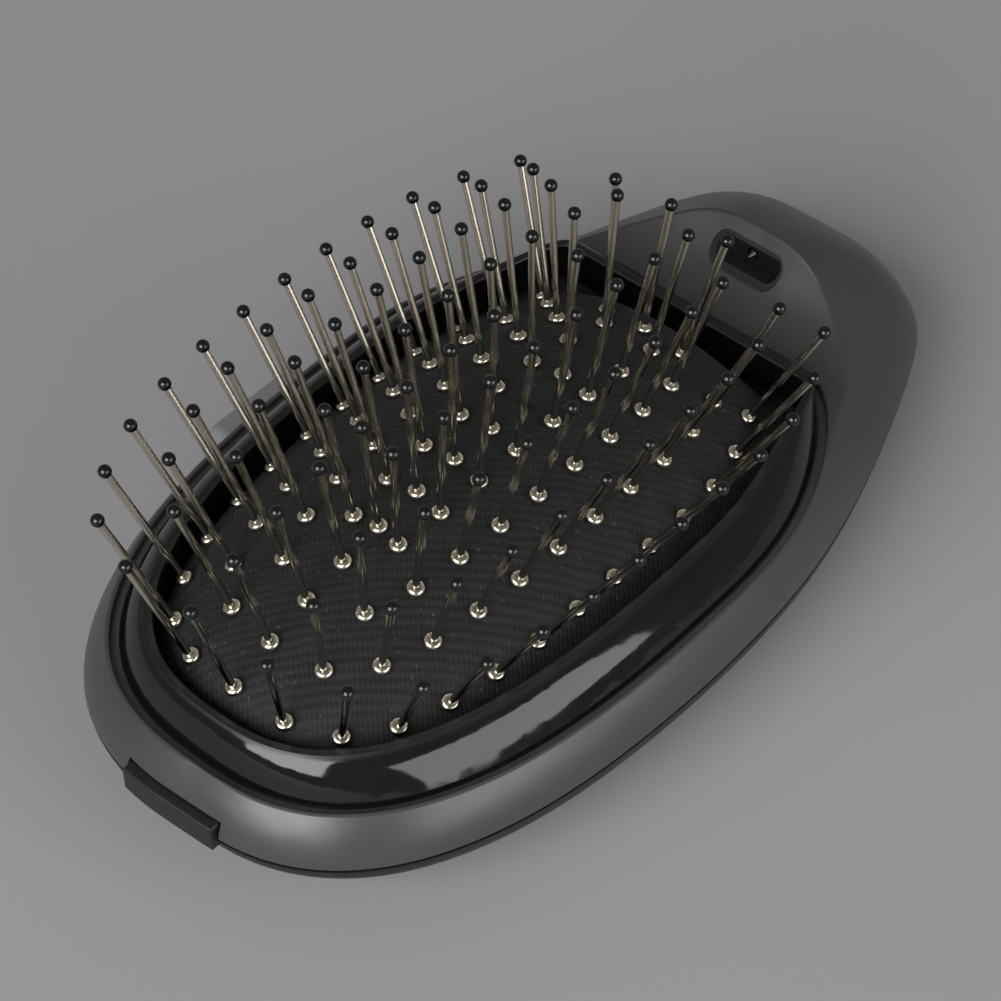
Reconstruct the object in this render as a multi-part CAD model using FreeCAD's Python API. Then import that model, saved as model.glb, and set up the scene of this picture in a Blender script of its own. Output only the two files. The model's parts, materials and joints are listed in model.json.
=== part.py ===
import FreeCAD
import Part
import math
import os

Vec = FreeCAD.Vector

# Electric styling brush lying on its back, pins up. X runs from the front tip to the hood,
# Y across the body, Z up. The origin is under the middle of the body, on the resting face.

# Body seen from above: distances from the widest station
front_length = 66.8
tail_length = 68.4
half_width = 37.7

# Main levels above the resting face
seam_height = 12.4
rim_height = 18.8
crest_height = 23.9
hood_height = 27.5

# Hood: its crease stands at hood_reach, and its inner face starts at hood_start
hood_reach = 50.6
hood_start = 40.6
hood_hollow = 1.1
hood_foot_radius = 3.0

# Shells
housing_wall = 1.8
hood_wall = 1.4
deck_thickness = 2.8
rim_inset = 2.7
rim_edge = 0.5
recess_edge = 0.3
front_inset = 3.4
cover_wall = 1.6
cover_floor = 1.5
cover_curve_depth = 14.2
seam_gap = 0.6
cover_reveal = 0.1
tongue_thickness = 1.2
tongue_rise = 1.4
tongue_root = 2.0
shell_clearance = 0.3

# Thumb tab of the back cover and its notch
tab_half_width = 7.5
tab_depth = 3.0
tab_proud = 0.8
tab_foot = 10.8
tab_top = 14.7
tab_edge = 0.4

# Bezel seen from above: its rim set in from the body, and its crest from its rim
rim_front_inset = 5.0
rim_half_inset = 4.3
rim_hood_gap = 2.1
crest_front_inset = 2.7
crest_half_inset = 4.7
crest_hood_inset = 4.0
crest_width = 1.0
crest_edge = 0.4
bezel_recess = 1.0
bezel_clearance = 1.05
bezel_sink = 0.3
bezel_foot_edge = 0.35
flange_width = 1.5
clip_count = 44
clip_slot_width = 0.5
clip_slot_depth = 0.45

# Cushion
pad_gap = 0.4
pad_hood_gap = 1.6
pad_crown = 11.1
pad_edge_height = 20.5
pad_peak = -11.5
pad_dome_over = 3.7
pad_dome_under = 1.5
pad_wall = 1.6
pad_flange = 1.5
pad_clearance = 0.3
pad_long_power = 2.4
pad_wide_power = 2.05
dome_steps = 16
vent_radius = 1.1

# Pins
pin_radius = 0.5
pin_length = 20.0
pin_pitch = 7.1
pin_lead = 0.8
pin_tail = 2.6
retainer_radius = 1.2
retainer_height = 0.5
pin_hole_clearance = 0.2
ball_radius = 0.9
ball_seat_radius = 0.55
fit_clearance = 0.03
collar_radius = 1.2
collar_height = 0.8
collar_lift = 0.3
fan_depth_long = 148.0
fan_depth_wide = 40.0
ring_front_inset = 3.3
ring_front_step = 6.6
ring_half_inset = 4.3
ring_half_step = 6.1
ring_tail_inset = 7.3
ring_power = 3.2
ring_count = 4
ring_end_gap = 9.2
tail_row_offset = 6.3
middle_row_count = 6
vent_turn = 4

# Base plate and chassis
base_thickness = 1.4
base_margin = 0.5
chassis_thickness = 1.6
chassis_half = 13.5
chassis_front = 39.0
chassis_tail = 53.0
tray_wall = 1.3
tray_depth = 9.2
tray_middle = -6.0

# Cells and contacts
cell_radius = 5.25
cell_length = 44.5
cell_nub_radius = 1.9
cell_nub_length = 1.2
cell_spacing = 11.5
cell_clearance = 0.25
contact_thickness = 0.4
contact_width = 7.5
contact_height = 7.0
contact_tab = 1.6
contact_tab_half = 1.0
contact_clearance = 0.1
spring_length = 4.6
spring_radius = 3.0
spring_wire = 0.35
spring_turns = 3.5

# Boards and the ion generator
board_thickness = 1.6
board_half = 12.4
board_start = 30.0
board_end = 53.0
board_standoff = 0.8
generator_start = 37.4
generator_length = 13.5
generator_half = 7.6
generator_height = 6.2
part_gap = 0.4
coil_radius = 3.2
coil_height = 5.0
chip_length = 5.0
chip_width = 3.2
chip_height = 1.5

# Ion outlet and emitter
outlet_half = 5.9
outlet_height = 4.0
outlet_level = 23.5
outlet_wall = 0.6
outlet_back = 49.8
outlet_recess = 0.3
outlet_clearance = 0.05
needle_radius = 0.5
needle_clearance = 0.5
needle_tip = 48.0
needle_rear = 53.0
needle_point = 1.2
holder_gap = 0.7
holder_thickness = 2.0
holder_half = 3.0
holder_cap = 0.8
lead_radius = 0.55
lead_bend = 1.2
lead_spacing = 2.2
lead_run = 54.0

# Power button on the +Y side and its switch
button_middle = -12.4
button_length = 17.0
button_height = 3.6
button_level = 15.2
button_proud = 1.6
button_edge = 0.6
button_travel = 1.0
button_clearance = 0.25
button_inner_inset = 4.7
button_flange_over = 1.3
button_flange_thickness = 1.0
button_arm_half = 3.0
button_arm_thickness = 1.8
button_arm_foot = 8.6
switch_board_thickness = 1.0
switch_board_half = 9.0
switch_board_depth = 8.0
switch_half = 3.5
switch_depth = 6.0
switch_height = 4.2
plunger_half = 1.2
plunger_gap = 0.2
plunger_stroke_room = 1.6
lamp_radius = 1.5
lamp_length = 4.0
lamp_offset = 6.2

# Fasteners
screw_shank = 1.0
screw_head = 1.9
screw_head_height = 1.2
screw_clearance = 0.05
housing_screw_length = 4.8
chassis_screw_length = 5.6
board_screw_length = 2.9
chassis_screw_half = 8.0
chassis_screw_inset = 3.0
board_screw_inset = 2.4
boss_radius = 2.4
boss_height = 3.0

# One overrun serves every cut
overrun = 2.0
tall = 160.0

# Shares of the plan's lengths: stations along the body, and the bezel's corners along and across
front_station_shares = [1, 0.985, 0.94, 0.86, 0.73, 0.55, 0.3, 0]
tail_station_shares = [0.2, 0.4, 0.58, 0.73, 0.85, 0.93, 0.98, 1]
frame_tail_shares = [(0.2, 0.993), (0.38, 0.963), (0.55, 0.905), (0.72, 0.815), (0.86, 0.71), (0.95, 0.61),
                     (0.99, 0.53), (1, 0.45)]
crest_tail_shares = [(0.2, 0.993), (0.38, 0.966), (0.55, 0.918), (0.72, 0.866), (0.86, 0.822), (0.94, 0.79),
                     (0.985, 0.75), (1, 0.69)]
front_power = 2.65
tail_power = 1.87
tail_power_rise = 1.0
tail_power_turn = 5.1
hood_back_power = 2.0
pinch_share = 0.158
pinch_start_share = 0.2
pinch_end_share = 0.7
lip_share = 0.7
root_share = 0.75
collar_round_share = 0.78
ledge_middle_share = 0.5
housing_screw_shares = [0.085, 0.17, 0.3, 0.7, 0.83, 0.915]
spring_bend_share = 0.92
side_curve_power = 1.7
housing_level_shares = [0, 0.13, 0.28, 0.43, 0.6, 0.77, 0.9, 0.98, 1.02]
cover_level_shares = [1, 0.85, 0.65, 0.45, 0.25, 0.1, 0]
bezel_rise_shares = [(0.35, 0.5), (0.72, 0.85), (1, 1)]

# Sizes that follow from the ones above
rim_front = front_length - rim_front_inset
rim_half = half_width - rim_half_inset
rim_flat = hood_start - rim_hood_gap
crest_front = rim_front - crest_front_inset
crest_half = rim_half - crest_half_inset
crest_flat = rim_flat - crest_hood_inset
button_inner = half_width - button_inner_inset
deck_bottom = rim_height - deck_thickness
bezel_bottom = rim_height - bezel_recess
base_bottom = deck_bottom - base_thickness
chassis_bottom = base_bottom - chassis_thickness
cover_top = seam_height - seam_gap
open_front = crest_front - crest_width
open_flat = crest_flat - crest_width
open_half = crest_half - crest_width
pad_front = open_front - pad_gap
pad_flat = open_flat - pad_hood_gap
pad_half = open_half - pad_gap
pad_dome_length = pad_front + pad_peak + pad_dome_over
pad_dome_width = pad_half - pad_dome_under
ring_front = pad_front - ring_front_inset
ring_half = pad_half - ring_half_inset
ring_tail = pad_flat - ring_tail_inset
cell_height = chassis_bottom - cell_clearance - cell_radius
tray_length = spring_length + cell_length + 2 * contact_thickness
tray_half = cell_spacing / 2 + cell_radius + cell_clearance
tray_start = tray_middle - tray_length / 2
tray_end = tray_middle + tray_length / 2


def closed_curve(points):
    curve = Part.BSplineCurve()
    curve.interpolate(Points=points, PeriodicFlag=True)
    return Part.Wire(curve.toShape())


def front_side(front, half, height, power=front_power):
    # A superellipse from the front tip to the widest station
    points = []
    for along in front_station_shares:
        across = (1 - along ** power) ** (1 / power)
        points.append(Vec(-front * along, half * across, height))
    return points


def mirrored(points):
    return [Vec(point.x, -point.y, point.z) for point in reversed(points)]


def pinched(along):
    # Eases from nothing to full between two stations
    part = (along - pinch_start_share) / (pinch_end_share - pinch_start_share)
    part = min(max(part, 0), 1)
    return part * part * (3 - 2 * part)


def egg_wire(front, tail, half, height, pinch=0):
    side = front_side(front, half, height)
    for along in tail_station_shares:
        power = tail_power + tail_power_rise * along ** tail_power_turn
        across = (1 - along ** power) ** (1 / power) * (1 - pinch * pinched(along))
        side.append(Vec(tail * along, half * across, height))
    return closed_curve(side + mirrored(side[1:-1]))


def frame_curve(front, flat, half, height, tail_shares=frame_tail_shares):
    # The bezel's outline, open along its straight hood end
    side = front_side(front, half, height)
    side += [Vec(flat * along, half * across, height) for along, across in tail_shares]
    curve = Part.BSplineCurve()
    curve.interpolate(Points=mirrored(side[1:]) + side)
    return curve


def frame_wire(front, flat, half, height, tail_shares=frame_tail_shares):
    curve = frame_curve(front, flat, half, height, tail_shares)
    closing = Part.LineSegment(curve.EndPoint, curve.StartPoint)
    return Part.Wire([curve.toShape(), closing.toShape()])


def open_wire(grow, height):
    # The bezel's opening, with the crest's tight corners at the hood
    return frame_wire(open_front + grow, open_flat + grow, open_half + grow, height, crest_tail_shares)


def pad_wire(inset, height):
    return frame_wire(pad_front - inset, pad_flat - inset, pad_half - inset, height, crest_tail_shares)


def prism(wire, height):
    return Part.Face(wire).extrude(Vec(0, 0, height))


def box(start, end):
    size = end - start
    return Part.makeBox(size.x, size.y, size.z, start)


def rod(radius, start, end):
    axis = end - start
    return Part.makeCylinder(radius, axis.Length, start, axis)


def turned(profile):
    points = [Vec(radius, 0, height) for radius, height in profile]
    face = Part.Face(Part.makePolygon(points + [points[0]]))
    return face.revolve(Vec(0, 0, 0), Vec(0, 0, 1), 360)


def one_solid(shape):
    return shape.removeSplitter().Solids[0]


def fused(shapes):
    return one_solid(shapes[0].multiFuse(shapes[1:]))


def oblong(start, length, half, height):
    # A bar along X with round ends across Y, standing height tall
    radius = height / 2
    left = start - Vec(0, half - radius, 0)
    right = start + Vec(0, half - radius, 0)
    up = Vec(0, 0, radius)
    out = Vec(0, radius, 0)
    edges = [Part.LineSegment(left + up, right + up), Part.Arc(right + up, right + out, right - up),
             Part.LineSegment(right - up, left - up), Part.Arc(left - up, left - out, left + up)]
    return Part.Face(Part.Wire([edge.toShape() for edge in edges])).extrude(Vec(length, 0, 0))


def lead(points, radius, bend):
    # Straight runs joined by tangent arcs
    edges = []
    here = points[0]
    for corner, after in zip(points[1:-1], points[2:]):
        into = (corner - here).normalize()
        out = (after - corner).normalize()
        half_turn = into.getAngle(out) / 2
        setback = bend * math.tan(half_turn)
        start = corner - into * setback
        end = corner + out * setback
        inward = (out - into).normalize()
        middle = corner + inward * (bend / math.cos(half_turn) - bend)
        edges.append(Part.LineSegment(here, start).toShape())
        edges.append(Part.Arc(start, middle, end).toShape())
        here = end
    edges.append(Part.LineSegment(here, points[-1]).toShape())
    circle = Part.Wire(Part.Circle(points[0], points[1] - points[0], radius).toShape())
    return Part.Wire(edges).makePipeShell([circle], True, False)


def screw(length, start):
    body = turned([(0, -screw_head_height), (screw_head, -screw_head_height), (screw_head, 0),
                   (screw_shank, 0), (screw_shank, length), (0, length)])
    body.translate(start)
    return body


def make_screws(length, spots):
    return Part.makeCompound([screw(length, spot) for spot in spots])


def screw_hole(length, start):
    return rod(screw_shank + screw_clearance, start, start + Vec(0, 0, length))


def tail_at(height):
    # The hood's back falls from its crease and stands upright at the seam
    rise = (height - seam_height) / (hood_height - seam_height)
    return tail_length - (tail_length - hood_reach) * rise ** hood_back_power


def housing_wire(height, inset, level):
    # The housing's outline at one height, drawn at another level
    rise = max((height - seam_height) / (rim_height - seam_height), 0)
    curve = rise ** side_curve_power
    front = front_length - front_inset * curve - inset
    tail = tail_at(max(height, seam_height)) - inset
    half = half_width - rim_inset * curve - inset
    return egg_wire(front, tail, half, level, pinch_share * rise)


def housing_form(inset, drop):
    wires = []
    for share in housing_level_shares:
        height = seam_height + (hood_height - seam_height) * share
        wires.append(housing_wire(height, inset, height - drop * share))
    return Part.makeLoft(wires, True, False)


def above_deck(lowering, shift):
    # What lies over the deck and in front of the hood's hollow inner face
    deck = rim_height - lowering
    top = Vec(hood_reach + shift, -tall, hood_height - shift)
    start = Vec(hood_start + shift, -tall, deck)
    rise = top - start
    middle = (start + top) / 2 + Vec(rise.z, 0, -rise.x).normalize() * hood_hollow
    end = top + rise
    low = Vec(-tall, -tall, deck)
    high = Vec(-tall, -tall, end.z)
    edges = [Part.LineSegment(low, start), Part.Arc(start, middle, top), Part.LineSegment(top, end),
             Part.LineSegment(end, high), Part.LineSegment(high, low)]
    return Part.Face(Part.Wire([edge.toShape() for edge in edges])).extrude(Vec(0, 2 * tall, 0))


def pad_height(x, y):
    along = abs((x - pad_peak) / pad_dome_length) ** pad_long_power
    across = abs(y / pad_dome_width) ** pad_wide_power
    return pad_edge_height + pad_crown * (1 - along - across)


def under_dome(drop):
    length = pad_front + pad_flat + 2 * overrun
    width = 2 * (pad_half + overrun)
    xs = [length * i / dome_steps - pad_front - overrun for i in range(dome_steps + 1)]
    ys = [width * i / dome_steps - width / 2 for i in range(dome_steps + 1)]
    surface = Part.BSplineSurface()
    surface.interpolate([[Vec(x, y, pad_height(x, y) - drop) for y in ys] for x in xs])
    return surface.toShape().extrude(Vec(0, 0, -tall))


def ring_curve(front, half):
    points = front_side(front, half, 0, ring_power)
    points += [Vec((ring_tail + pin_pitch) * along, half * across, 0) for along, across in frame_tail_shares]
    curve = Part.BSplineCurve()
    curve.interpolate(Points=points)
    return curve


def pin_places():
    # Rings follow the cushion's outline from the front tip round to the hood, at one pitch
    places = []
    for ring in range(ring_count):
        curve = ring_curve(ring_front - ring * ring_front_step, ring_half - ring * ring_half_step)
        places.append((curve.StartPoint.x, 0))
        count = int((curve.length() - pin_lead - ring_end_gap) / pin_pitch)
        for i in range(1, count + 1):
            spot = curve.value(curve.parameterAtDistance(pin_lead + i * pin_pitch, curve.FirstParameter))
            places += [(spot.x, spot.y), (spot.x, -spot.y)]
    row_start = ring_count * ring_front_step - ring_front
    middle_row = [row_start + i * pin_pitch for i in range(middle_row_count)]
    vent = middle_row.pop(vent_turn)
    places += [(x, 0) for x in middle_row]
    places += [(ring_tail, y) for y in (-tail_row_offset, 0, tail_row_offset)]
    return places, vent


def at_pin(shape, x, y):
    lean = Vec((x - pad_peak) / fan_depth_long, y / fan_depth_wide, 1)
    placed = shape.copy()
    turn = FreeCAD.Rotation(Vec(0, 0, 1), lean)
    placed.Placement = FreeCAD.Placement(Vec(x, y, pad_height(x, y)), turn)
    return placed


def screw_spots():
    # Along the middle of the ledge that carries the bezel
    front = (rim_front + open_front + flange_width) * ledge_middle_share
    flat = (rim_flat + open_flat + flange_width) * ledge_middle_share
    half = (rim_half + open_half + flange_width) * ledge_middle_share
    curve = frame_curve(front, flat, half, base_bottom)
    length = curve.length()
    spots = []
    for share in housing_screw_shares:
        spots.append(curve.value(curve.parameterAtDistance(length * share, curve.FirstParameter)))
    return spots


def edges_at(shape, level):
    return [edge for edge in shape.Edges
            if edge.BoundBox.ZMin > level - fit_clearance and edge.BoundBox.ZMax < level + fit_clearance]


def round_housing(shell):
    # The hood's foot first, then its crease with the rim's outer edge, then the edge round the bezel
    foot = [edge for edge in edges_at(shell, rim_height) if edge.BoundBox.XMin > hood_start - fit_clearance]
    shell = shell.makeFillet(hood_foot_radius, foot)
    outside = rim_half + bezel_clearance + recess_edge
    sides = [edge for edge in edges_at(shell, rim_height)
             if max(-edge.BoundBox.YMin, edge.BoundBox.YMax) > outside]
    crease = [edge for edge in shell.Edges if edge.BoundBox.ZMax > hood_height - fit_clearance]
    shell = shell.makeFillet(rim_edge, sides + crease)
    inside = [edge for edge in edges_at(shell, rim_height)
              if -edge.BoundBox.YMin < outside and edge.BoundBox.YMax < outside
              and edge.BoundBox.XMax < hood_start - fit_clearance and edge.Length > rim_half / 2]
    return shell.makeFillet(recess_edge, inside).Solids[0]


def make_upper_housing():
    shell = housing_form(0, 0).cut(above_deck(0, 0))
    room = housing_form(housing_wall, hood_wall)
    room = room.cut(above_deck(deck_thickness, housing_wall * lip_share))
    shell = shell.cut(room)
    recess = frame_wire(rim_front + bezel_clearance, rim_flat + bezel_clearance,
                        rim_half + bezel_clearance, bezel_bottom)
    opening = open_wire(flange_width, deck_bottom - overrun)
    shell = shell.cut(prism(recess, tall)).cut(prism(opening, tall))
    notch_half = tab_half_width + shell_clearance
    notch_back = -front_length + tab_depth + shell_clearance
    notch = box(Vec(-tall, -notch_half, 0), Vec(notch_back, notch_half, tab_top + shell_clearance))
    shell = shell.cut(notch)
    slot = button_bar(button_clearance, button_inner - button_travel - overrun, half_width + overrun)
    outlet = oblong(Vec(hood_start, 0, outlet_level), outlet_back - hood_start + 2 * holder_gap,
                    outlet_half + outlet_clearance, outlet_height + 2 * outlet_clearance)
    shell = shell.cut(slot).cut(outlet)
    for spot in screw_spots():
        shell = shell.cut(screw_hole(housing_screw_length, spot))
    return round_housing(one_solid(shell))


def cover_form(inset, floor):
    wires = []
    for share in cover_level_shares:
        height = floor + (cover_top - floor) * share
        depth = cover_top - height
        size = math.sqrt(1 - (depth / (cover_curve_depth - floor)) ** 2)
        front = (front_length - cover_reveal) * size - inset
        tail = (tail_length - cover_reveal) * size - inset
        half = (half_width - cover_reveal) * size - inset
        wires.append(egg_wire(front, tail, half, height))
    return Part.makeLoft(wires, True, False)


def make_back_cover():
    shell = cover_form(0, 0).cut(cover_form(cover_wall, cover_floor))
    top = seam_height + tongue_rise
    low = cover_top - tongue_root
    tongue_inset = housing_wall + shell_clearance
    tongue = prism(housing_wire(top, tongue_inset, low), top - low)
    root_inset = cover_reveal + cover_wall * root_share
    root = prism(housing_wire(seam_height, root_inset, low), cover_top - low)
    inside = prism(housing_wire(top, tongue_inset + tongue_thickness, low - overrun), tall)
    proud = egg_wire(front_length + tab_proud, tail_length, half_width + tab_proud, tab_foot)
    block = box(Vec(-tall, -tab_half_width, 0), Vec(tab_depth - front_length, tab_half_width, tall))
    tab = prism(proud, tab_top - tab_foot).common(block)
    tab = tab.makeFillet(tab_edge, [edge for edge in tab.Edges if edge.CenterOfMass.z > tab_top - tab_edge])
    cover = shell.fuse(root.fuse(tongue).cut(inside)).fuse(tab)
    room_half = button_length / 2 + button_flange_over + shell_clearance
    room = box(Vec(button_middle - room_half, 0, cover_top), Vec(button_middle + room_half, tall, tall))
    return one_solid(cover.cut(room))


def make_bezel():
    wires = [frame_wire(rim_front, rim_flat, rim_half, bezel_bottom)]
    foot = rim_height - bezel_sink
    wires.append(frame_wire(rim_front, rim_flat, rim_half, foot))
    outer = Part.makeLoft(wires, True, True)
    slope = [wires[1]]
    for inward, upward in bezel_rise_shares:
        front = rim_front - crest_front_inset * inward
        flat = rim_flat - crest_hood_inset * inward
        half = rim_half - crest_half_inset * inward
        shares = []
        for (along, across), (crest_along, crest_across) in zip(frame_tail_shares, crest_tail_shares):
            along += (crest_along - along) * inward
            across += (crest_across - across) * inward
            shares.append((along, across))
        slope.append(frame_wire(front, flat, half, foot + (crest_height - foot) * upward, shares))
    ring = outer.fuse(Part.makeLoft(slope, True, False))
    ring = ring.cut(prism(open_wire(0, bezel_bottom - overrun), tall))
    curve = frame_curve(open_front, open_flat, open_half, pad_edge_height, crest_tail_shares)
    slots = []
    for i in range(clip_count):
        distance = curve.length() * (i + 1) / (clip_count + 1)
        parameter = curve.parameterAtDistance(distance, curve.FirstParameter)
        spot = curve.value(parameter)
        along = curve.tangent(parameter)[0]
        corner = Vec(-clip_slot_width / 2, -clip_slot_depth, bezel_bottom - pad_edge_height - overrun)
        slot = Part.makeBox(clip_slot_width, 2 * clip_slot_depth, tall, corner)
        slot.Placement = FreeCAD.Placement(spot, FreeCAD.Rotation(Vec(1, 0, 0), along))
        slots.append(slot)
    top = box(Vec(-tall, -tall, crest_height - 2 * crest_edge), Vec(tall, tall, tall))
    ring = ring.cut(Part.makeCompound([slot.cut(top) for slot in slots]))
    for spot in screw_spots():
        ring = ring.cut(screw_hole(housing_screw_length, spot))
    ring = one_solid(ring)
    ring = ring.makeFillet(crest_edge, edges_at(ring, crest_height)).Solids[0]
    return ring.makeFillet(bezel_foot_edge, edges_at(ring, foot)).Solids[0]


def make_cushion(places, vent):
    low = deck_bottom
    outer = prism(pad_wire(0, low), tall).common(under_dome(0))
    inner = pad_wire(pad_wall, low - overrun)
    flange = open_wire(flange_width - pad_clearance, low)
    pad = outer.fuse(prism(flange, pad_flange)).cut(prism(inner, tall).common(under_dome(pad_wall)))
    hole = rod(pin_radius + pin_hole_clearance, Vec(0, 0, -pad_wall - overrun), Vec(0, 0, overrun))
    holes = [at_pin(hole, x, y) for x, y in places]
    holes.append(rod(vent_radius, Vec(vent, 0, low), Vec(vent, 0, tall)))
    return one_solid(pad.cut(Part.makeCompound(holes)))


def ball_seat():
    # Height along the pin where its ball is cut flat to sit on the wire
    return pin_length - math.sqrt(ball_radius ** 2 - ball_seat_radius ** 2)


def make_pins(places):
    pin = rod(pin_radius, Vec(0, 0, -pin_tail), Vec(0, 0, ball_seat()))
    return Part.makeCompound([at_pin(pin, x, y) for x, y in places])


def make_tips(places):
    ball = Part.makeSphere(ball_radius, Vec(0, 0, pin_length))
    ball = one_solid(ball.cut(rod(tall, Vec(0, 0, 0), Vec(0, 0, ball_seat()))))
    return Part.makeCompound([at_pin(ball, x, y) for x, y in places])


def make_collars(places):
    # A domed ring round each pin
    inner = Vec(pin_radius + fit_clearance, 0, collar_lift)
    outer = Vec(collar_radius, 0, collar_lift)
    top = inner + Vec(0, 0, collar_height)
    shoulder = inner + (outer + top - inner * 2) * collar_round_share
    edges = [Part.LineSegment(inner, outer), Part.Arc(outer, shoulder, top), Part.LineSegment(top, inner)]
    face = Part.Face(Part.Wire([edge.toShape() for edge in edges]))
    collar = face.revolve(Vec(0, 0, 0), Vec(0, 0, 1), 360)
    return Part.makeCompound([at_pin(collar, x, y) for x, y in places])


def make_retainers(places):
    bore = pin_radius + fit_clearance
    high = -pad_wall - pad_clearance
    low = high - retainer_height
    ring = turned([(bore, low), (retainer_radius, low), (retainer_radius, high), (bore, high)])
    return Part.makeCompound([at_pin(ring, x, y) for x, y in places])


def make_base_plate():
    outline = frame_wire(rim_front - base_margin, rim_flat - base_margin,
                         rim_half - base_margin, base_bottom)
    plate = prism(outline, base_thickness)
    bosses = [rod(boss_radius, spot, spot + Vec(0, 0, chassis_thickness + base_thickness + boss_height))
              for spot in chassis_screw_spots()]
    floor = box(Vec(-tall, -tall, 0), Vec(tall, tall, base_bottom))
    plate = plate.multiFuse([boss.cut(floor) for boss in bosses])
    room_half = button_length / 2 + button_flange_over + shell_clearance
    room_depth = button_inner - button_flange_thickness - button_travel - shell_clearance
    room = box(Vec(button_middle - room_half, room_depth, 0), Vec(button_middle + room_half, tall, tall))
    plate = plate.cut(room)
    for spot in screw_spots():
        plate = plate.cut(screw_hole(housing_screw_length, spot))
    for spot in chassis_screw_spots():
        plate = plate.cut(screw_hole(chassis_screw_length, spot))
    return one_solid(plate)


def chassis_screw_spots():
    xs = (chassis_screw_inset - chassis_front, tray_end + tray_wall + chassis_screw_inset)
    return [Vec(x, y, chassis_bottom) for x in xs for y in (-chassis_screw_half, chassis_screw_half)]


def board_screw_spots():
    xs = (board_start + board_screw_inset, board_end - board_screw_inset)
    half = board_half - board_screw_inset
    return [Vec(x, y, board_level()) for x in xs for y in (-half, half)]


def make_chassis():
    plate = box(Vec(-chassis_front, -chassis_half, chassis_bottom),
                Vec(chassis_tail, chassis_half, base_bottom))
    wing = box(Vec(button_middle - switch_board_half, 0, chassis_bottom),
               Vec(button_middle + switch_board_half, switch_edge(), base_bottom))
    outside = box(Vec(tray_start - tray_wall, -tray_half - tray_wall, chassis_bottom - tray_depth),
                  Vec(tray_end + tray_wall, tray_half + tray_wall, base_bottom))
    inside = box(Vec(tray_start, -tray_half, chassis_bottom - tray_depth - overrun),
                 Vec(tray_end, tray_half, chassis_bottom))
    standoffs = [rod(screw_head, spot + Vec(0, 0, board_thickness), Vec(spot.x, spot.y, base_bottom))
                 for spot in board_screw_spots()]
    chassis = fused([plate, wing, outside] + standoffs).cut(inside)
    for side in (-1, 1):
        chassis = chassis.cut(terminal_tab(side, contact_clearance))
    for spot in chassis_screw_spots():
        chassis = chassis.cut(screw_hole(chassis_screw_length, spot))
    for spot in board_screw_spots():
        chassis = chassis.cut(screw_hole(board_screw_length, spot))
    return one_solid(chassis)


def switch_edge():
    return button_inner - button_flange_thickness - button_arm_thickness - plunger_stroke_room


def make_cell(direction):
    body = cell_length - cell_nub_length
    cell = turned([(0, 0), (cell_radius, 0), (cell_radius, body), (cell_nub_radius, body),
                   (cell_nub_radius, cell_length), (0, cell_length)])
    plus = tray_end - contact_thickness if direction > 0 else tray_start + contact_thickness
    start = Vec(plus - direction * cell_length, direction * cell_spacing / 2, cell_height)
    cell.Placement = FreeCAD.Placement(start, FreeCAD.Rotation(Vec(0, 0, 1), Vec(direction, 0, 0)))
    return cell


def contact_plate(x, low_y, high_y):
    low = cell_height - contact_height / 2
    return box(Vec(x, low_y, low), Vec(x + contact_thickness, high_y, low + contact_height))


def make_contact_springs():
    springs = []
    rise = spring_length - 2 * spring_wire - 2 * fit_clearance
    corners = [(1, 1), (-1, 1), (-1, -1), (1, -1)]
    count = round(len(corners) * spring_turns)
    points = [Vec(spring_radius, 0, 0)]
    for i in range(count):
        x, y = corners[i % len(corners)]
        points.append(Vec(spring_radius * x, spring_radius * y, rise * (2 * i + 1) / (2 * count)))
    points.append(Vec(-spring_radius, 0, rise))
    for direction in (1, -1):
        coil = lead(points, spring_wire, spring_radius * spring_bend_share)
        plate = tray_start + contact_thickness if direction > 0 else tray_end - contact_thickness
        x = plate + direction * (spring_wire + fit_clearance)
        start = Vec(x, direction * cell_spacing / 2, cell_height)
        coil.Placement = FreeCAD.Placement(start, FreeCAD.Rotation(Vec(0, 0, 1), Vec(direction, 0, 0)))
        springs.append(coil)
    return Part.makeCompound(springs)


def terminal_tab(side, grow):
    # The tab that carries the lead through the tray's end wall
    y = side * cell_spacing / 2
    half = contact_tab_half + grow
    low = cell_height - contact_height / 2
    return box(Vec(tray_end - contact_thickness, y - half, low - grow),
               Vec(tray_end + tray_wall + contact_tab, y + half, low + contact_thickness + grow))


def make_contact_terminals():
    plates = []
    x = tray_end - contact_thickness
    for side in (-1, 1):
        middle = side * cell_spacing / 2
        plate = contact_plate(x, middle - contact_width / 2, middle + contact_width / 2)
        plates.append(fused([plate, terminal_tab(side, 0)]))
    return Part.makeCompound(plates)


def board_level():
    return chassis_bottom - board_standoff - board_thickness


def make_circuit_board():
    level = board_level()
    board = box(Vec(board_start, -board_half, level), Vec(board_end, board_half, level + board_thickness))
    for spot in board_screw_spots():
        board = board.cut(screw_hole(board_screw_length, spot))
    return one_solid(board)


def make_board_parts():
    level = board_level()
    x = generator_start - coil_radius - part_gap
    coil = rod(coil_radius, Vec(x, 0, level - coil_height), Vec(x, 0, level))
    chip_x = generator_start
    chip_y = -generator_half - part_gap
    chip = box(Vec(chip_x, chip_y - chip_width, level - chip_height),
               Vec(chip_x + chip_length, chip_y, level))
    return Part.makeCompound([coil, chip])


def make_generator():
    level = board_level()
    return box(Vec(generator_start, -generator_half, level - generator_height),
               Vec(generator_start + generator_length, generator_half, level))


def make_outlet_cup():
    start = Vec(hood_start, 0, outlet_level)
    outer = oblong(start, outlet_back - hood_start, outlet_half, outlet_height)
    inner = oblong(start, outlet_back - hood_start - outlet_wall, outlet_half - outlet_wall,
                   outlet_height - 2 * outlet_wall)
    hole = rod(needle_radius + needle_clearance, start, start + Vec(tall, 0, 0))
    cup = outer.cut(inner).cut(hole).cut(above_deck(0, outlet_recess))
    return one_solid(cup)


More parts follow.
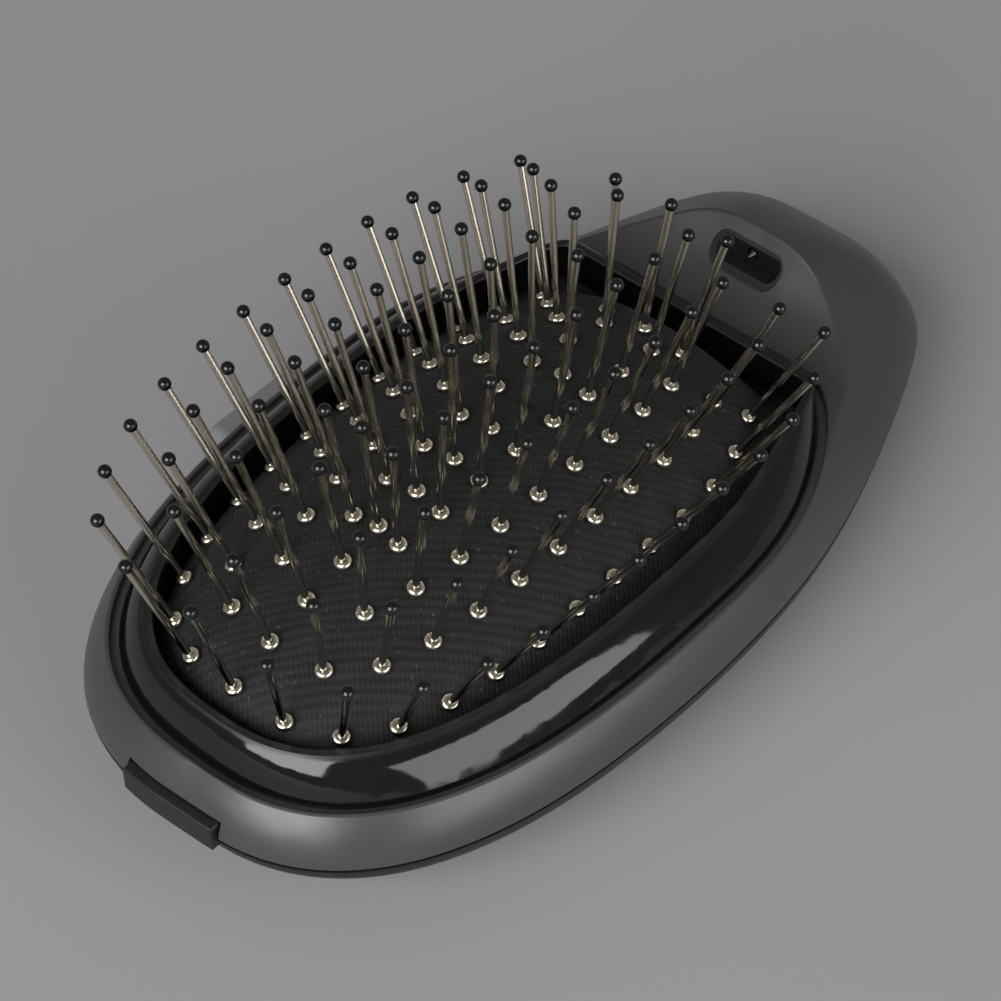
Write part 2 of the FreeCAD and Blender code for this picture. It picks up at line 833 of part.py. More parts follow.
def make_needle():
    shank = needle_rear - needle_tip
    needle = turned([(0, 0), (needle_radius, needle_point), (needle_radius, shank), (0, shank)])
    turn = FreeCAD.Rotation(Vec(0, 0, 1), Vec(1, 0, 0))
    needle.Placement = FreeCAD.Placement(Vec(needle_tip, 0, outlet_level), turn)
    return needle


def make_emitter_holder():
    x = outlet_back + holder_gap
    post = box(Vec(x, -holder_half, base_bottom),
               Vec(x + holder_thickness, holder_half, outlet_level + holder_cap))
    start = Vec(x - overrun, 0, outlet_level)
    bore = rod(needle_radius + fit_clearance, start, start + Vec(tall, 0, 0))
    return one_solid(post.cut(bore))


def make_emitter_lead():
    level = board_level() - generator_height / 2
    points = [Vec(generator_start + generator_length, 0, level), Vec(lead_run, 0, level),
              Vec(lead_run, 0, outlet_level), Vec(needle_rear, 0, outlet_level)]
    return lead(points, lead_radius, lead_bend)


def button_bar(grow, inner, outer):
    bar = oblong(Vec(0, 0, 0), outer - inner, button_length / 2 + grow, button_height + 2 * grow)
    turn = FreeCAD.Rotation(Vec(0, 0, 1), 90)
    bar.Placement = FreeCAD.Placement(Vec(button_middle, inner, button_level), turn)
    return bar


def button_face():
    # The housing's side at the button's middle
    level = (button_level - seam_height) / (rim_height - seam_height)
    return half_width - rim_inset * level ** side_curve_power + button_proud


def make_power_button():
    cap = button_bar(0, button_inner, button_face())
    rim = [edge for edge in cap.Edges if edge.CenterOfMass.y > button_face() - button_edge]
    cap = cap.makeFillet(button_edge, rim)
    flange_half = button_length / 2 + button_flange_over
    back = button_inner - button_flange_thickness
    flange = box(Vec(button_middle - flange_half, back, button_level - button_height / 2),
                 Vec(button_middle + flange_half, button_inner, deck_bottom - button_clearance))
    arm = box(Vec(button_middle - button_arm_half, back - button_arm_thickness, button_arm_foot),
              Vec(button_middle + button_arm_half, back, base_bottom - shell_clearance))
    return fused([cap, flange, arm])


def switch_level():
    return chassis_bottom - switch_board_thickness


def make_switch_board():
    edge = switch_edge()
    return box(Vec(button_middle - switch_board_half, edge - switch_board_depth, switch_level()),
               Vec(button_middle + switch_board_half, edge, chassis_bottom))


def plunger_box(grow, inner, outer):
    level = switch_level() - switch_height / 2
    reach = plunger_half + grow
    return box(Vec(button_middle - reach, inner, level - reach),
               Vec(button_middle + reach, outer, level + reach))


def make_switch_body():
    edge = switch_edge()
    body = box(Vec(button_middle - switch_half, edge - switch_depth, switch_level() - switch_height),
               Vec(button_middle + switch_half, edge, switch_level()))
    return one_solid(body.cut(plunger_box(plunger_gap, edge - switch_depth / 2, edge + overrun)))


def make_switch_plunger():
    edge = switch_edge()
    arm = button_inner - button_flange_thickness - button_arm_thickness
    return plunger_box(0, edge - switch_depth / 2 + button_travel + plunger_gap, arm)


def make_lamp():
    edge = switch_edge()
    x = button_middle + lamp_offset
    level = switch_level() - lamp_radius
    lamp = rod(lamp_radius, Vec(x, edge - lamp_length, level), Vec(x, edge, level))
    dome = Part.makeSphere(lamp_radius, Vec(x, edge, level))
    return fused([lamp, dome])


def make_battery_leads():
    leads = []
    level = cell_height - contact_height / 2 + contact_thickness + lead_radius
    x = board_start + board_screw_inset
    for side in (-1, 1):
        y = side * cell_spacing / 2
        start = Vec(tray_end + tray_wall, y, level)
        leads.append(lead([start, Vec(x, y, level), Vec(x, y, board_level())], lead_radius, lead_bend))
    return Part.makeCompound(leads)


def make_switch_leads():
    leads = []
    start_x = button_middle + switch_board_half
    level = chassis_bottom - switch_board_thickness / 2
    end_level = board_level() + board_thickness / 2
    for lane in (0, 1):
        y = switch_edge() - lead_spacing * (lane + 1)
        end_y = board_half - lead_spacing * (lane + 1)
        bend_x = tray_end + lead_spacing * (2 - lane)
        points = [Vec(start_x, y, level), Vec(bend_x, y, level),
                  Vec(board_start - lead_spacing, end_y, end_level), Vec(board_start, end_y, end_level)]
        leads.append(lead(points, lead_radius, lead_bend))
    return Part.makeCompound(leads)


def main():
    os.makedirs("parts", exist_ok=True)
    places, vent = pin_places()
    nodes = {
        "upper_housing": make_upper_housing(),
        "back_cover": make_back_cover(),
        "bezel_frame": make_bezel(),
        "cushion_pad": make_cushion(places, vent),
        "bristle_pins": make_pins(places),
        "pin_tips": make_tips(places),
        "pin_collars": make_collars(places),
        "pin_retainers": make_retainers(places),
        "base_plate": make_base_plate(),
        "chassis": make_chassis(),
        "battery_left": make_cell(1),
        "battery_right": make_cell(-1),
        "contact_springs": make_contact_springs(),
        "contact_bridge": contact_plate(tray_start, -tray_half, tray_half),
        "contact_terminals": make_contact_terminals(),
        "circuit_board": make_circuit_board(),
        "board_parts": make_board_parts(),
        "ion_generator": make_generator(),
        "outlet_cup": make_outlet_cup(),
        "emitter_needle": make_needle(),
        "emitter_holder": make_emitter_holder(),
        "emitter_lead": make_emitter_lead(),
        "power_button": make_power_button(),
        "switch_board": make_switch_board(),
        "switch_body": make_switch_body(),
        "switch_plunger": make_switch_plunger(),
        "indicator_lamp": make_lamp(),
        "battery_leads": make_battery_leads(),
        "switch_leads": make_switch_leads(),
        "housing_screws": make_screws(housing_screw_length, screw_spots()),
        "chassis_screws": make_screws(chassis_screw_length, chassis_screw_spots()),
        "board_screws": make_screws(board_screw_length, board_screw_spots()),
    }
    for name, shape in nodes.items():
        shape.exportStep("parts/" + name + ".step")
        frame = shape.optimalBoundingBox(False, False)
        print(name, len(shape.Solids), "solids, valid", shape.isValid(), "volume", round(shape.Volume, 1))
        print("  x", round(frame.XMin, 1), round(frame.XMax, 1), "y", round(frame.YMin, 1),
              round(frame.YMax, 1), "z", round(frame.ZMin, 1), round(frame.ZMax, 1))


main()
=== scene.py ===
import bpy
import json
import math
from bisect import bisect
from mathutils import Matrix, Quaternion, Vector, kdtree


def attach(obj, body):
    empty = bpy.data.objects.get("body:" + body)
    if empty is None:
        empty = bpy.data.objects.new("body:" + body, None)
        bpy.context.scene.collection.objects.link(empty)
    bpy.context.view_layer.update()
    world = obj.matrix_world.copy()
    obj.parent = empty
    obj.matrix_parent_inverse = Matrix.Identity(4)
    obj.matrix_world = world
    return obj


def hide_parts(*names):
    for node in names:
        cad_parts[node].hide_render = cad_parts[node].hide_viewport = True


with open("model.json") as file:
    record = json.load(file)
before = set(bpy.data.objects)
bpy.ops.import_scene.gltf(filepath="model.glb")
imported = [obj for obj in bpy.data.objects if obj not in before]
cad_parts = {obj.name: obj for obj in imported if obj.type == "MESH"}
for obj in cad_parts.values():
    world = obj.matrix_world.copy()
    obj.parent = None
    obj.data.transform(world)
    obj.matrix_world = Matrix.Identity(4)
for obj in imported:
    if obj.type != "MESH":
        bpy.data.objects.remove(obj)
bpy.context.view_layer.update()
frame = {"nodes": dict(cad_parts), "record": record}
nodes = frame["nodes"]
scene = bpy.context.scene
scene.view_settings.view_transform = "Standard"
print("frame loaded:", len(nodes), "nodes")


def deselectAll():
    bpy.ops.object.select_all(action="DESELECT")


def makeActive(piece):
    deselectAll()
    piece.select_set(True)
    bpy.context.view_layer.objects.active = piece


# shader helpers: they add nodes to a finish's tree, and most return the socket to link on from
def startFinish(name):
    finish = bpy.data.materials.new(name)
    finish.use_nodes = True
    tree = finish.node_tree
    shader = tree.nodes["Principled BSDF"]
    where = tree.nodes.new("ShaderNodeTexCoord").outputs["Object"]
    return finish, tree, shader, where


def turnedPlace(tree, where, turn=(0, 0, 0), stretch=(1, 1, 1)):
    mapping = tree.nodes.new("ShaderNodeMapping")
    mapping.inputs["Rotation"].default_value = turn
    mapping.inputs["Scale"].default_value = stretch
    tree.links.new(where, mapping.inputs["Vector"])
    return mapping.outputs["Vector"]


def noise(tree, where, size, detail=2.0):
    node = tree.nodes.new("ShaderNodeTexNoise")
    node.inputs["Scale"].default_value = 1.0 / size
    node.inputs["Detail"].default_value = detail
    tree.links.new(where, node.inputs["Vector"])
    return node.outputs["Fac"]


def spread(tree, value, low, high, fromLow=0.3, fromHigh=0.7):
    node = tree.nodes.new("ShaderNodeMapRange")
    node.inputs["From Min"].default_value = fromLow
    node.inputs["From Max"].default_value = fromHigh
    node.inputs["To Min"].default_value = low
    node.inputs["To Max"].default_value = high
    tree.links.new(value, node.inputs["Value"])
    return node.outputs["Result"]


def blendColors(tree, value, dark, light, fromLow=0.3, fromHigh=0.7):
    node = tree.nodes.new("ShaderNodeValToRGB")
    node.color_ramp.elements[0].position = fromLow
    node.color_ramp.elements[0].color = (*dark, 1)
    node.color_ramp.elements[1].position = fromHigh
    node.color_ramp.elements[1].color = (*light, 1)
    tree.links.new(value, node.inputs["Fac"])
    return node.outputs["Color"]


def math2(tree, operation, first, second):
    node = tree.nodes.new("ShaderNodeMath")
    node.operation = operation
    for socket, value in zip(node.inputs, (first, second)):
        if isinstance(value, (int, float)):
            socket.default_value = value
        else:
            tree.links.new(value, socket)
    return node.outputs[0]


def raiseBump(tree, shader, height, depth):
    node = tree.nodes.new("ShaderNodeBump")
    node.inputs["Distance"].default_value = depth
    tree.links.new(height, node.inputs["Height"])
    tree.links.new(node.outputs["Normal"], shader.inputs["Normal"])


def scaled(color, share):
    return tuple(part * share for part in color)


def unevenRough(tree, value, look):
    low = look["roughness"] - look["roughDrift"]
    high = look["roughness"] + look["roughDrift"]
    return spread(tree, value, low, high)


def mouldedPlastic(name, look):
    finish, tree, shader, where = startFinish(name)
    drift = noise(tree, where, look["driftSize"], detail=4)
    dark = scaled(look["color"], 1 - look["drift"])
    light = scaled(look["color"], 1 + look["drift"])
    tree.links.new(blendColors(tree, drift, dark, light), shader.inputs["Base Color"])
    smudge = noise(tree, where, look["smudgeSize"], detail=3)
    rough = unevenRough(tree, smudge, look)
    if "dullLevels" in look:  # rougher from one height to another
        split = tree.nodes.new("ShaderNodeSeparateXYZ")
        tree.links.new(where, split.inputs["Vector"])
        dull = spread(tree, split.outputs["Z"], 0, look["dull"], *look["dullLevels"])
        rough = math2(tree, "ADD", rough, dull)
    tree.links.new(rough, shader.inputs["Roughness"])
    grain = noise(tree, where, look["grainSize"])
    raiseBump(tree, shader, grain, look["grainDepth"])
    shader.inputs["Specular IOR Level"].default_value = look.get("specular", 0.5)
    return finish


def drawnMetal(name, look):
    finish, tree, shader, where = startFinish(name)
    stretched = turnedPlace(tree, where, stretch=look["stretch"])
    lines = noise(tree, stretched, look["lineSize"])
    shade = blendColors(tree, lines, scaled(look["color"], 1 - look["drift"]), look["color"])
    tree.links.new(shade, shader.inputs["Base Color"])
    tree.links.new(unevenRough(tree, lines, look), shader.inputs["Roughness"])
    shader.inputs["Metallic"].default_value = 1
    raiseBump(tree, shader, lines, look["lineDepth"])
    return finish


def wovenCloth(name, look):
    finish, tree, shader, where = startFinish(name)
    turned = turnedPlace(tree, where, turn=(0, 0, -math.radians(look["turn"])))
    ribs = threads(tree, turned, "X", look["pitch"], look)
    cross = threads(tree, turned, "Y", look["pitch"] / 2, look)
    fuzz = noise(tree, where, look["fuzzSize"], detail=3)
    height = math2(tree, "ADD", math2(tree, "MULTIPLY", ribs, look["ribShare"]),
                   math2(tree, "MULTIPLY", cross, look["crossShare"]))
    height = math2(tree, "ADD", height, math2(tree, "MULTIPLY", fuzz, look["fuzzShare"]))
    # the colour follows the weave's height: darker in the grooves, a painted shade, with random tone where
    # the fuzz lifts it
    shade = blendColors(tree, height, look["dark"], look["light"], *look["grooveShadeRange"])
    speck = spread(tree, noise(tree, where, look["dustSize"], detail=0), 0, 1, *look["dustRange"])
    # a few pale specks of dust caught in the weave
    mix = tree.nodes.new("ShaderNodeMix")
    mix.data_type = "RGBA"
    firstColor, secondColor, mixedColor = mix.inputs[6], mix.inputs[7], mix.outputs[2]
    tree.links.new(speck, mix.inputs["Factor"])
    tree.links.new(shade, firstColor)
    secondColor.default_value = (*look["dust"], 1)
    tree.links.new(mixedColor, shader.inputs["Base Color"])
    tree.links.new(unevenRough(tree, fuzz, look), shader.inputs["Roughness"])
    raiseBump(tree, shader, height, look["ribDepth"])
    shader.inputs["Sheen Weight"].default_value = look["sheen"]
    return finish


def threads(tree, where, direction, pitch, look):
    node = tree.nodes.new("ShaderNodeTexWave")
    node.bands_direction = direction
    node.inputs["Scale"].default_value = math.pi / (10 * pitch)  # a scale of pi has ten bands a metre
    node.inputs["Distortion"].default_value = look["waver"]
    node.inputs["Detail"].default_value = look["waverDetail"]
    node.inputs["Detail Scale"].default_value = look["waverScale"]
    tree.links.new(where, node.inputs["Vector"])
    return node.outputs["Fac"]


finishes = {
    "housing_grey": mouldedPlastic("housingSatin", {
        "color": (0.050, 0.0505, 0.052), "drift": 0.05, "driftSize": 0.02, "roughness": 0.33,
        "roughDrift": 0.03, "smudgeSize": 0.008, "grainSize": 0.00016, "grainDepth": 0.000003,
        "specular": 0.75}),
    "cover_grey": mouldedPlastic("coverSatin", {
        "color": (0.010, 0.010, 0.011), "drift": 0.06, "driftSize": 0.02, "roughness": 0.44,
        "roughDrift": 0.05, "smudgeSize": 0.008, "grainSize": 0.0002, "grainDepth": 0.00001}),
    "bezel_black": mouldedPlastic("bezelGloss", {
        "color": (0.0045, 0.0045, 0.005), "drift": 0.15, "driftSize": 0.012, "roughness": 0.08,
        "roughDrift": 0.03, "smudgeSize": 0.006, "grainSize": 0.0012, "grainDepth": 0.000001,
        "specular": 0.6, "dull": 0.3, "dullLevels": (0.0233, 0.0237)}),
    "outlet_black": mouldedPlastic("outletBlack", {
        "color": (0.006, 0.006, 0.006), "drift": 0.1, "driftSize": 0.01, "roughness": 0.55,
        "roughDrift": 0.06, "smudgeSize": 0.004, "grainSize": 0.0002, "grainDepth": 0.00001}),
    "tip_black": mouldedPlastic("tipLacquer", {
        "color": (0.004, 0.004, 0.0044), "drift": 0.2, "driftSize": 0.002, "roughness": 0.07,
        "roughDrift": 0.02, "smudgeSize": 0.0009, "grainSize": 0.0006, "grainDepth": 0.0000005,
        "specular": 0.6}),
    "button_grey": mouldedPlastic("buttonSatin", {
        "color": (0.22, 0.22, 0.225), "drift": 0.05, "driftSize": 0.01, "roughness": 0.38,
        "roughDrift": 0.05, "smudgeSize": 0.005, "grainSize": 0.00018, "grainDepth": 0.000008}),
    "inner_plastic": mouldedPlastic("innerPlastic", {
        "color": (0.03, 0.031, 0.033), "drift": 0.08, "driftSize": 0.015, "roughness": 0.55,
        "roughDrift": 0.06, "smudgeSize": 0.006, "grainSize": 0.0003, "grainDepth": 0.000015}),
    "cell_jacket": mouldedPlastic("cellJacket", {
        "color": (0.16, 0.17, 0.19), "drift": 0.08, "driftSize": 0.01, "roughness": 0.3,
        "roughDrift": 0.06, "smudgeSize": 0.004, "grainSize": 0.0004, "grainDepth": 0.000006}),
    "board_green": mouldedPlastic("boardGreen", {
        "color": (0.012, 0.09, 0.04), "drift": 0.25, "driftSize": 0.002, "roughness": 0.35,
        "roughDrift": 0.08, "smudgeSize": 0.003, "grainSize": 0.0003, "grainDepth": 0.00001}),
    "component_black": mouldedPlastic("componentBlack", {
        "color": (0.015, 0.015, 0.015), "drift": 0.15, "driftSize": 0.003, "roughness": 0.5,
        "roughDrift": 0.08, "smudgeSize": 0.002, "grainSize": 0.0002, "grainDepth": 0.00001}),
    "potting_blue": mouldedPlastic("pottingBlue", {
        "color": (0.02, 0.06, 0.16), "drift": 0.12, "driftSize": 0.004, "roughness": 0.35,
        "roughDrift": 0.08, "smudgeSize": 0.003, "grainSize": 0.0006, "grainDepth": 0.00002}),
    "lead_red": mouldedPlastic("leadRed", {
        "color": (0.42, 0.02, 0.015), "drift": 0.08, "driftSize": 0.004, "roughness": 0.4,
        "roughDrift": 0.05, "smudgeSize": 0.003, "grainSize": 0.0003, "grainDepth": 0.000006}),
    "lead_white": mouldedPlastic("leadWhite", {
        "color": (0.62, 0.61, 0.58), "drift": 0.05, "driftSize": 0.004, "roughness": 0.4,
        "roughDrift": 0.05, "smudgeSize": 0.003, "grainSize": 0.0003, "grainDepth": 0.000006}),
    "lamp_clear": mouldedPlastic("lampClear", {
        "color": (0.55, 0.62, 0.66), "drift": 0.05, "driftSize": 0.002, "roughness": 0.12,
        "roughDrift": 0.03, "smudgeSize": 0.001, "grainSize": 0.0004, "grainDepth": 0.000004}),
    "pin_metal": drawnMetal("pinNickel", {
        "color": (0.58, 0.54, 0.46), "drift": 0.05, "stretch": (1, 1, 0.2), "lineSize": 0.003,
        "roughness": 0.13, "roughDrift": 0.02, "lineDepth": 0.00000001}),
    "collar_metal": drawnMetal("collarBright", {
        "color": (0.76, 0.71, 0.58), "drift": 0.12, "stretch": (1, 1, 1), "lineSize": 0.0006,
        "roughness": 0.2, "roughDrift": 0.03, "lineDepth": 0.000001}),
    "contact_metal": drawnMetal("contactNickel", {
        "color": (0.66, 0.64, 0.6), "drift": 0.15, "stretch": (1, 0.1, 1), "lineSize": 0.0004,
        "roughness": 0.3, "roughDrift": 0.06, "lineDepth": 0.000005}),
    # the needle's steel is coloured dark, a painted shade of the outlet slot it sits in
    "needle_steel": drawnMetal("needleSteelPaintedShade", {
        "color": (0.2, 0.2, 0.205), "drift": 0.15, "stretch": (0.1, 1, 1), "lineSize": 0.0002,
        "roughness": 0.42, "roughDrift": 0.05, "lineDepth": 0.000004}),
    "screw_steel": drawnMetal("screwSteel", {
        "color": (0.46, 0.46, 0.47), "drift": 0.2, "stretch": (1, 1, 0.3), "lineSize": 0.0005,
        "roughness": 0.34, "roughDrift": 0.08, "lineDepth": 0.000008}),
    # dark is the painted shade in the grooves of the weave, light the tone of the raised threads
    "pad_rubber": wovenCloth("padCloth", {
        "dark": (0.003, 0.003, 0.0034), "light": (0.0128, 0.0128, 0.0138), "pitch": 0.00122,
        "grooveShadeRange": (0.25, 1.0), "turn": 46, "waver": 1.6, "waverDetail": 1, "waverScale": 2,
        "ribShare": 0.55, "crossShare": 0.45, "ribDepth": 0.00009, "fuzzSize": 0.00016,
        "fuzzShare": 0.6, "roughness": 0.74, "roughDrift": 0.1, "sheen": 0.02,
        "dust": (0.06, 0.06, 0.063), "dustSize": 0.0005, "dustRange": (0.79, 0.83)}),
}

slotOfNode = {}
for entry in frame["record"]["subparts"]:
    slotOfNode[entry["node"]] = entry["material_slot"]
for nodeName, piece in nodes.items():
    piece.data.materials.clear()
    piece.data.materials.append(finishes[slotOfNode[nodeName]])
print("finishes set on", len(slotOfNode), "nodes")


# the cushion: a cloth membrane blown up between the pins that hold it
padLook = {
    "front": 0.0577, "flat": 0.0319, "half": 0.0273, "frontPower": 2.65, "frontSteps": 160,
    "tailSteps": 24,
    "tailShares": [(0, 1), (0.2, 0.993), (0.38, 0.966), (0.55, 0.918), (0.72, 0.866), (0.86, 0.822),
                   (0.94, 0.79), (0.985, 0.75), (1, 0.69)],
    "middle": -0.012, "peak": -0.0115, "level": 0.0205, "crown": 0.0111, "domeLength": 0.0499,
    "domeWidth": 0.0258, "longPower": 2.4, "widePower": 2.05,
    "edgeLevel": 0.0178, "rollWidth": 0.0042, "foot": 0.0164, "wall": 0.0014, "fill": 0.95,
    "columns": 84, "rows": 48, "smoothLevels": 2, "smoothAngle": 50,
    "holdReach": 0.0016, "simScale": 20, "pressure": 25.0, "simFrames": 20, "mostRise": 0.00035,
    "clothQuality": 6, "clothMass": 0.3, "tension": 15, "bending": 1.0,
    "ribPitch": 0.00122, "ribTurn": 46, "ribRise": 0.00003, "ribFade": 0.0012,
    "ventPlace": (0.0004, 0), "ventRadius": 0.0011, "ventDepth": 0.0012, "ventSlope": 3}


def padOutline(look):
    # one side from the front tip to the hood, then the other side back
    side = []
    for i in range(look["frontSteps"] + 1):
        angle = math.pi / 2 * i / look["frontSteps"]
        across = math.sin(angle) ** (2 / look["frontPower"])
        along = math.cos(angle) ** (2 / look["frontPower"]) if i < look["frontSteps"] else 0
        side.append((-look["front"] * along, look["half"] * across))
    for start, end in zip(look["tailShares"], look["tailShares"][1:] + [(1, 0)]):
        for i in range(1, look["tailSteps"] + 1):
            along = start[0] + (end[0] - start[0]) * i / look["tailSteps"]
            across = start[1] + (end[1] - start[1]) * i / look["tailSteps"]
            side.append((look["flat"] * along, look["half"] * across))
    return side + [(x, -y) for x, y in reversed(side[1:-1])]


def flatTree(points):
    tree = kdtree.KDTree(len(points))
    for i, point in enumerate(points):
        tree.insert((point[0], point[1], 0), i)
    tree.balance()
    return tree


def ringSpots(node, apart=0.003):
    # the middle of each of a node's many small solids
    groups = []
    for vertex in node.data.vertices:
        for group in groups:
            if (group[0] - vertex.co).length < apart:
                group.append(vertex.co)
                break
        else:
            groups.append([vertex.co.copy()])
    return [sum(group, Vector()) / len(group) for group in groups]


outline = padOutline(padLook)
outlineTree = flatTree(outline)
pinSpots = ringSpots(nodes["pin_collars"])
pinTree = flatTree(pinSpots)
fromMiddle = [(x - padLook["middle"], y) for x, y in outline]
polar = sorted((math.atan2(y, x), math.hypot(x, y)) for x, y in fromMiddle)
polarAngles = [angle for angle, reach in polar]
print("cushion outline:", len(outline), "points,", len(pinSpots), "pins")


def reachAt(angle):
    # how far the outline is from the cushion's middle
    i = bisect(polarAngles, angle) % len(polar)
    before, after = polar[i - 1], polar[i]
    turn = (after[0] - before[0]) % (2 * math.pi)
    share = ((angle - before[0]) % (2 * math.pi)) / turn if turn else 0
    return before[1] + (after[1] - before[1]) * share


def flatDistance(tree, x, y):
    return tree.find((x, y, 0))[2]


def padTop(look, x, y):
    # the height of a dome that rolls down to the outline
    along = abs((x - look["peak"]) / look["domeLength"]) ** look["longPower"]
    across = abs(y / look["domeWidth"]) ** look["widePower"]
    dome = look["level"] + look["crown"] * (1 - along - across)
    edge = 1 - min(flatDistance(outlineTree, x, y) / look["rollWidth"], 1)
    return dome - max(dome - look["edgeLevel"], 0) * (1 - math.sqrt(1 - edge * edge))


deselectAll()
bpy.ops.mesh.primitive_grid_add(x_subdivisions=padLook["columns"], y_subdivisions=padLook["rows"], size=2)
pad = bpy.context.active_object
pad.name = "cushionPad"
# the square grid becomes a disc, and the disc takes the outline's shape
for vertex in pad.data.vertices:
    s, t = vertex.co.x, vertex.co.y
    u = s * math.sqrt(1 - t * t / 2)
    v = t * math.sqrt(1 - s * s / 2)
    angle = math.atan2(v, u)
    reach = math.hypot(u, v) * reachAt(angle)
    x = padLook["middle"] + reach * math.cos(angle)
    y = reach * math.sin(angle)
    vertex.co = (x, y, padTop(padLook, x, y))


def blowUp(piece, look):
    # swell the membrane at a larger scale, pinned at its border and round every pin
    rest = [vertex.co.copy() for vertex in piece.data.vertices]
    held = piece.vertex_groups.new(name="held")
    for i, point in enumerate(rest):
        free = min(flatDistance(pinTree, point.x, point.y), flatDistance(outlineTree, point.x, point.y))
        if free < look["holdReach"]:
            held.add([i], 1.0, "REPLACE")
    for vertex in piece.data.vertices:
        vertex.co *= look["simScale"]
    cloth = piece.modifiers.new("swell", "CLOTH")
    cloth.settings.quality = look["clothQuality"]
    cloth.settings.mass = look["clothMass"]
    cloth.settings.tension_stiffness = look["tension"]
    cloth.settings.bending_stiffness = look["bending"]
    cloth.settings.use_pressure = True
    cloth.settings.uniform_pressure_force = look["pressure"]
    cloth.settings.vertex_group_mass = "held"
    cloth.settings.effector_weights.gravity = 0
    cloth.collision_settings.use_collision = False
    for step in range(1, look["simFrames"] + 1):
        scene.frame_set(step)
    makeActive(piece)
    bpy.ops.object.modifier_apply(modifier="swell")
    scene.frame_set(1)
    most = 0
    for vertex, before in zip(piece.data.vertices, rest):
        move = vertex.co / look["simScale"] - before
        most = max(most, move.length)
        if move.length > look["mostRise"]:
            move *= look["mostRise"] / move.length
        vertex.co = before + move
    piece.vertex_groups.clear()
    print("cushion swelled, most", round(most * 1000, 2), "mm before the cap")


blowUp(pad, padLook)

# its underside is a plain copy, set in by the wall
makeActive(pad)
bpy.ops.object.duplicate()
padUnder = bpy.context.active_object
narrow = 1 - padLook["wall"] / padLook["half"]
for vertex in padUnder.data.vertices:
    vertex.co -= vertex.normal * padLook["wall"]
    vertex.co.x = padLook["middle"] + (vertex.co.x - padLook["middle"]) * narrow
    vertex.co.y *= narrow
bpy.ops.object.mode_set(mode="EDIT")
bpy.ops.mesh.select_all(action="SELECT")
bpy.ops.mesh.flip_normals()
bpy.ops.object.mode_set(mode="OBJECT")

makeActive(pad)
smooth = pad.modifiers.new("smooth", "SUBSURF")
smooth.levels = padLook["smoothLevels"]
smooth.render_levels = padLook["smoothLevels"]
bpy.ops.object.modifier_apply(modifier="smooth")
# the ribs of the weave and the dent of the vent
ventX, ventY = padLook["ventPlace"]
ribTurn = math.radians(padLook["ribTurn"])
normals = [vertex.normal.copy() for vertex in pad.data.vertices]
for vertex, normal in zip(pad.data.vertices, normals):
    x, y = vertex.co.x, vertex.co.y
    near = min(flatDistance(outlineTree, x, y), flatDistance(pinTree, x, y) - padLook["ribFade"])
    fade = min(max(near / padLook["ribFade"], 0), 1)
    along = x * math.cos(ribTurn) + y * math.sin(ribTurn)
    rib = (1 - math.cos(2 * math.pi * along / padLook["ribPitch"])) / 2
    vertex.co += normal * rib * fade * padLook["ribRise"]
    away = math.hypot(vertex.co.x - ventX, vertex.co.y - ventY) / padLook["ventRadius"]
    if away < 1:
        vertex.co.z -= padLook["ventDepth"] * min((1 - away) * padLook["ventSlope"], 1)
# a skirt down to the foot, which the underside is then joined to
bpy.ops.object.mode_set(mode="EDIT")
bpy.ops.mesh.select_mode(type="EDGE")
bpy.ops.mesh.select_all(action="SELECT")
bpy.ops.mesh.region_to_loop()
skirtDrop = (0, 0, padLook["foot"] - padLook["edgeLevel"])
bpy.ops.mesh.extrude_region_move(TRANSFORM_OT_translate={"value": skirtDrop})
bpy.ops.object.mode_set(mode="OBJECT")
makeActive(pad)
padUnder.select_set(True)
bpy.ops.object.join()
bpy.ops.object.mode_set(mode="EDIT")
bpy.ops.mesh.select_all(action="DESELECT")
bpy.ops.mesh.select_non_manifold(use_wire=False, use_boundary=True, use_multi_face=False,
                                 use_non_contiguous=False, use_verts=False)
bpy.ops.mesh.bridge_edge_loops()
bpy.ops.mesh.select_all(action="SELECT")
bpy.ops.mesh.normals_make_consistent(inside=False)
bpy.ops.object.mode_set(mode="OBJECT")
bpy.ops.object.shade_smooth_by_angle(angle=math.radians(padLook["smoothAngle"]))
pad.data.materials.clear()
pad.data.materials.append(finishes["pad_rubber"])
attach(pad, "body")
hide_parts("cushion_pad")
print("cushion made:", len(pad.data.polygons), "faces")


stageLook = {"floorSize": 6.0, "floorDrop": 0.0002, "world": 0.17}
floorLook = {"color": (0.38, 0.372, 0.381), "drift": 0.015, "driftSize": 0.2, "roughness": 0.8,
             "roughDrift": 0.02, "smudgeSize": 0.1, "grainSize": 0.001, "grainDepth": 0.00001}

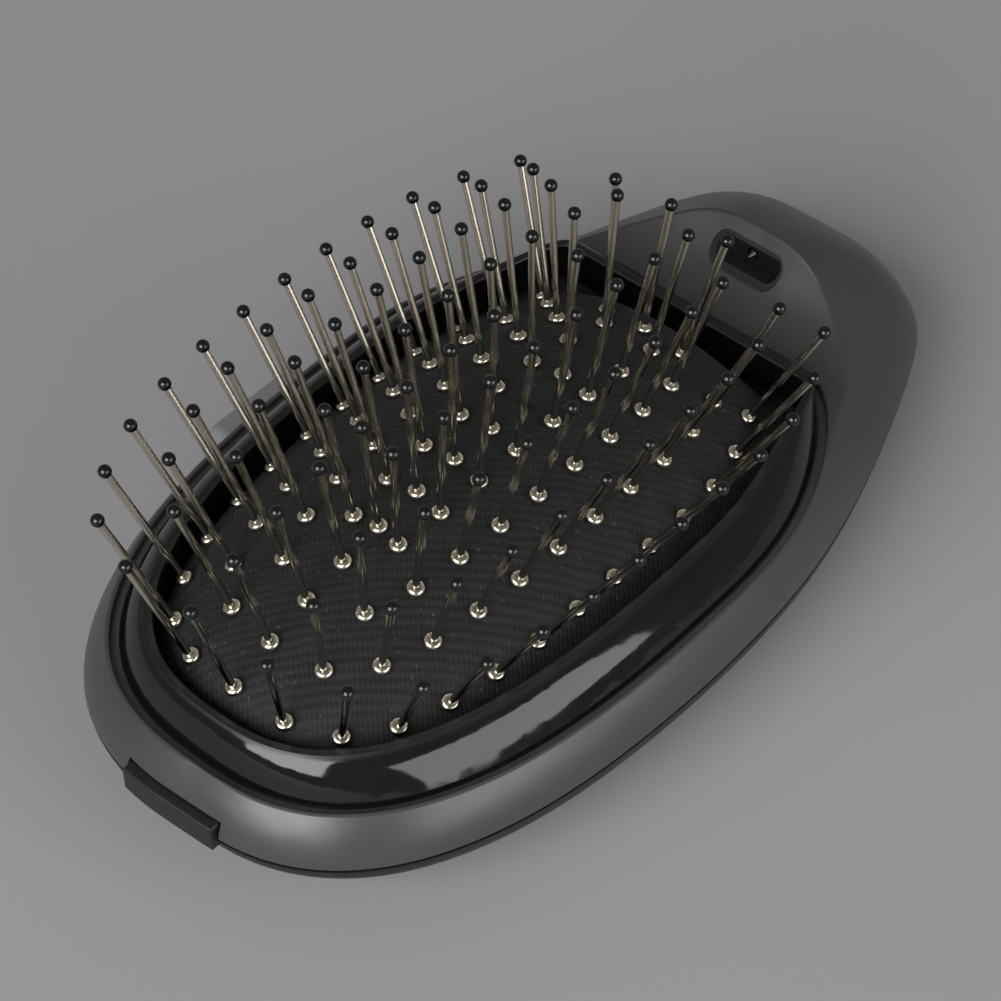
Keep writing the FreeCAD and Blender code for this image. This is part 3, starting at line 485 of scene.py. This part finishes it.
deselectAll()
bpy.ops.mesh.primitive_plane_add(size=stageLook["floorSize"], location=(0, 0, -stageLook["floorDrop"]))
floor = bpy.context.active_object
floor.name = "floor"
bpy.ops.object.transform_apply(location=True, rotation=False, scale=False)
floor.data.materials.append(mouldedPlastic("floorPaper", floorLook))

world = bpy.data.worlds.new("studio")
world.use_nodes = True
world.node_tree.nodes["Background"].inputs["Color"].default_value = (1, 1, 1, 1)
world.node_tree.nodes["Background"].inputs["Strength"].default_value = stageLook["world"]
scene.world = world


def awayFrom(azimuth, elevation):
    azimuth, elevation = math.radians(azimuth), math.radians(elevation)
    level = math.cos(elevation)
    return Vector((math.sin(azimuth) * level, -math.cos(azimuth) * level, math.sin(elevation)))


# soft boxes round the brush, placed by their angle from it
lightLooks = {
    "leftBox": {"azimuth": -82, "elevation": 31, "distance": 1.6, "size": (1.3, 1.15), "roll": 0,
                "power": 27.0},
    "frontBox": {"azimuth": 2, "elevation": 19, "distance": 1.6, "size": (1.45, 0.9), "roll": 12,
                 "power": 12.0}}
lightAim = Vector((-0.02, -0.01, 0.02))
for name, look in lightLooks.items():
    toLamp = awayFrom(look["azimuth"], look["elevation"])
    bpy.ops.object.light_add(type="AREA", location=lightAim + toLamp * look["distance"])
    lamp = bpy.context.active_object
    lamp.name = name
    lamp.data.shape = "RECTANGLE"
    lamp.data.size, lamp.data.size_y = look["size"]
    lamp.data.energy = look["power"]
    roll = Quaternion((0, 0, 1), math.radians(look["roll"]))
    lamp.rotation_euler = ((-toLamp).to_track_quat("-Z", "Y") @ roll).to_euler()

cameraLook = {"target": (-0.0073, -0.0021, 0.0205), "distance": 0.387, "azimuth": -49.26, "elevation": 47.30,
              "lens": 106.8, "sensor": 36, "clipStart": 0.01}
bpy.ops.object.camera_add()
camera = bpy.context.active_object
back = awayFrom(cameraLook["azimuth"], cameraLook["elevation"])
camera.location = Vector(cameraLook["target"]) + back * cameraLook["distance"]
camera.rotation_euler = (math.radians(90 - cameraLook["elevation"]), 0, math.radians(cameraLook["azimuth"]))
camera.data.sensor_width = cameraLook["sensor"]
camera.data.lens = cameraLook["lens"]
camera.data.clip_start = cameraLook["clipStart"]
scene.camera = camera
print("stage, lights and camera set")
